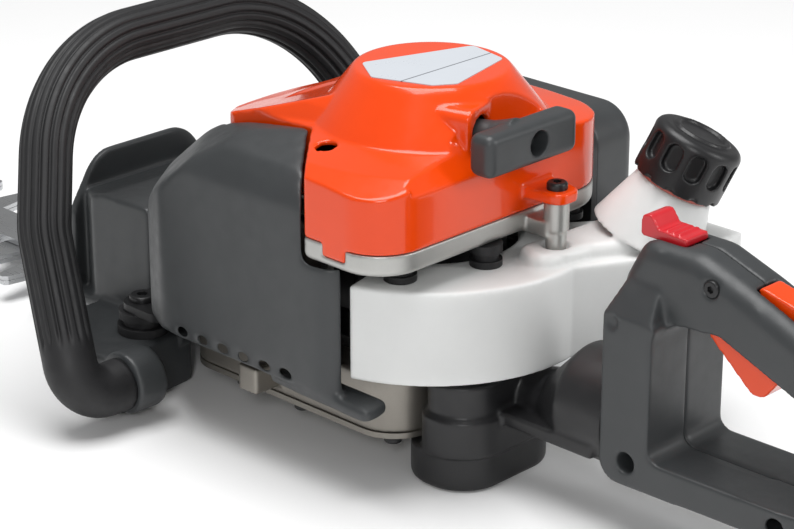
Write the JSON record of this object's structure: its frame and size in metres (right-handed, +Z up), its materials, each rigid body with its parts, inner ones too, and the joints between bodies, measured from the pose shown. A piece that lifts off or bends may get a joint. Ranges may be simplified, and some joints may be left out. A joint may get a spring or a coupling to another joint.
{
  "type": "hedge trimmer",
  "caption": "Petrol hedge trimmer with a double-sided reciprocating blade, front loop handle, rear trigger handle and recoil starter.",
  "frame": {"origin": "on the sole of the rear foot, on the machine's centre plane, 42 mm behind the crankshaft axis", "axes": "+X forward along the blade, +Y to the operator's left, +Z up"},
  "size_m": [0.9511, 0.2532, 0.1704],
  "materials": {
    "cast_metal": "cast, satin",
    "steel": "machined",
    "piston_alloy": "machined",
    "black_rubber": "matte",
    "muffler_steel": "heat-stained",
    "black_plastic": "fine texture",
    "filter_foam": "open foam",
    "grey_plastic": "satin",
    "case_paint": "blasted, satin",
    "blade_steel": "ground",
    "orange_plastic": "gloss",
    "black_steel": "black oxide",
    "white_label": "printed foil",
    "tank_plastic": "translucent satin",
    "rope_cord": "braided",
    "dark_plastic": "satin",
    "seal_rubber": "matte",
    "red_plastic": "satin",
    "clear_rubber": "translucent"
  },
  "bodies": {
    "root": {"crankcase": "cast_metal", "bearings": "steel", "engine_pins": "steel", "connecting_rod": "steel", "piston": "piston_alloy", "cylinder": "cast_metal", "spark_plug": "steel", "plug_boot": "black_rubber", "muffler": "muffler_steel", "intake_manifold": "black_plastic", "carburettor": "cast_metal", "air_filter_base": "black_plastic", "air_filter_element": "filter_foam", "air_filter_cover": "grey_plastic", "ignition_module": "black_plastic", "gear_case": "case_paint", "gear_case_cover": "case_paint", "blade_bar": "blade_steel", "blade_bolts": "steel", "starter_housing": "orange_plastic", "fan_case": "cast_metal", "body_screws": "black_steel", "top_badge": "white_label", "recoil_spring": "steel", "muffler_cover": "grey_plastic", "fuel_tank": "tank_plastic", "tank_buffers": "black_rubber", "fuel_hoses": "black_rubber", "rear_support": "black_plastic", "support_springs": "steel", "handle_left": "grey_plastic", "handle_right": "grey_plastic", "hinge_pins": "steel", "throttle_cable": "black_rubber", "front_guard": "grey_plastic", "av_mounts": "black_rubber", "mount_bracket": "black_steel", "front_handle": "black_steel", "front_handle_grip": "black_rubber"},
    "crankshaft": {"crankshaft": "steel", "flywheel": "cast_metal", "starter_cup": "steel", "clutch": "steel"},
    "clutch_drum": {"clutch_drum": "steel"},
    "drive_gear": {"drive_gear": "steel"},
    "blade_upper": {"blade_upper": "blade_steel"},
    "blade_lower": {"blade_lower": "blade_steel"},
    "rope_pulley": {"rope_pulley": "black_plastic"},
    "starter_handle": {"starter_handle": "grey_plastic", "starter_rope": "rope_cord"},
    "fuel_cap": {"fuel_cap": "dark_plastic"},
    "cap_slide": {"cap_seal": "seal_rubber"},
    "trigger": {"trigger": "orange_plastic"},
    "lockout": {"lockout": "orange_plastic"},
    "stop_switch": {"stop_switch": "red_plastic"},
    "choke_lever": {"choke_lever": "black_plastic"},
    "primer_bulb": {"primer_bulb": "clear_rubber"},
    "filter_cover_knob": {"filter_cover_knob": "dark_plastic"},
    "carburettor_lever": {"carburettor_lever": "steel"}
  },
  "joints": [
    {"name": "crankshaft_spin", "type": "hinge", "parent": "root", "child": "crankshaft", "pos_m": [0.042, 0, 0.079], "axis": [0, 0, 1], "continuous": true},
    {"name": "drive_gear_spin", "type": "hinge", "parent": "root", "child": "drive_gear", "pos_m": [0.09, 0, 0.026], "axis": [0, 0, 1], "continuous": true},
    {"name": "clutch_drum_spin", "type": "hinge", "parent": "root", "child": "clutch_drum", "pos_m": [0.042, 0, 0.03], "axis": [0, 0, 1], "continuous": true},
    {"name": "blade_upper_stroke", "type": "slide", "parent": "root", "child": "blade_upper", "axis": [1, 0, 0], "range_m": [-0.007, 0.007]},
    {"name": "blade_lower_stroke", "type": "slide", "parent": "root", "child": "blade_lower", "axis": [1, 0, 0], "range_m": [-0.007, 0.007]},
    {"name": "starter_pull", "type": "slide", "parent": "root", "child": "starter_handle", "axis": [-0.9616, -0.2745, 0], "range_m": [0, 0.65], "stiffness_N_per_m": 8, "springref_m": -0.3, "deforming": ["starter_rope"]},
    {"name": "rope_pulley_spin", "type": "hinge", "parent": "root", "child": "rope_pulley", "pos_m": [0.042, 0, 0.151], "axis": [0, 0, 1], "range_deg": [-5, 1661]},
    {"name": "cap_lift", "type": "slide", "parent": "root", "child": "cap_slide", "axis": [-0.2999, -0.2999, 0.9056], "range_m": [0, 0.03]},
    {"name": "cap_turn", "type": "hinge", "parent": "cap_slide", "child": "fuel_cap", "pos_m": [-0.0383, -0.0663, 0.1187], "axis": [-0.2999, -0.2999, 0.9056], "continuous": true},
    {"name": "trigger_squeeze", "type": "hinge", "parent": "root", "child": "trigger", "pos_m": [-0.121, 0, 0.106], "axis": [0, 1, 0], "range_deg": [0, 12], "stiffness_Nm_per_rad": 0.6, "springref_deg": -5.73},
    {"name": "lockout_press", "type": "hinge", "parent": "root", "child": "lockout", "pos_m": [-0.142, 0, 0.112], "axis": [0, -1, 0], "range_deg": [0, 7], "stiffness_Nm_per_rad": 0.6, "springref_deg": -5.73},
    {"name": "stop_switch_rock", "type": "hinge", "parent": "root", "child": "stop_switch", "pos_m": [-0.094, 0, 0.123], "axis": [0, 1, 0], "range_deg": [0, 8]},
    {"name": "choke_turn", "type": "hinge", "parent": "root", "child": "choke_lever", "pos_m": [0.114, -0.072, 0.052], "axis": [0, -1, 0], "range_deg": [0, 45]},
    {"name": "primer_press", "type": "slide", "parent": "root", "child": "primer_bulb", "axis": [0, 1, 0], "range_m": [0, 0.003], "stiffness_N_per_m": 400},
    {"name": "filter_knob_turn", "type": "hinge", "parent": "root", "child": "filter_cover_knob", "pos_m": [0.076, -0.09, 0.097], "axis": [0, 1, 0], "continuous": true},
    {"name": "throttle_lever_turn", "type": "hinge", "parent": "root", "child": "carburettor_lever", "pos_m": [0.116, -0.062, 0.086], "axis": [-1, 0, 0], "range_deg": [0, 60]}
  ],
  "couplings": [
    {"joint": "clutch_drum_spin", "follows": "drive_gear_spin", "ratio": -6.1111},
    {"joint": "blade_lower_stroke", "follows": "blade_upper_stroke", "ratio": -1},
    {"joint": "rope_pulley_spin", "follows": "starter_pull", "rad_per_m": 44.444},
    {"joint": "throttle_lever_turn", "follows": "trigger_squeeze", "ratio": 5}
  ]
}
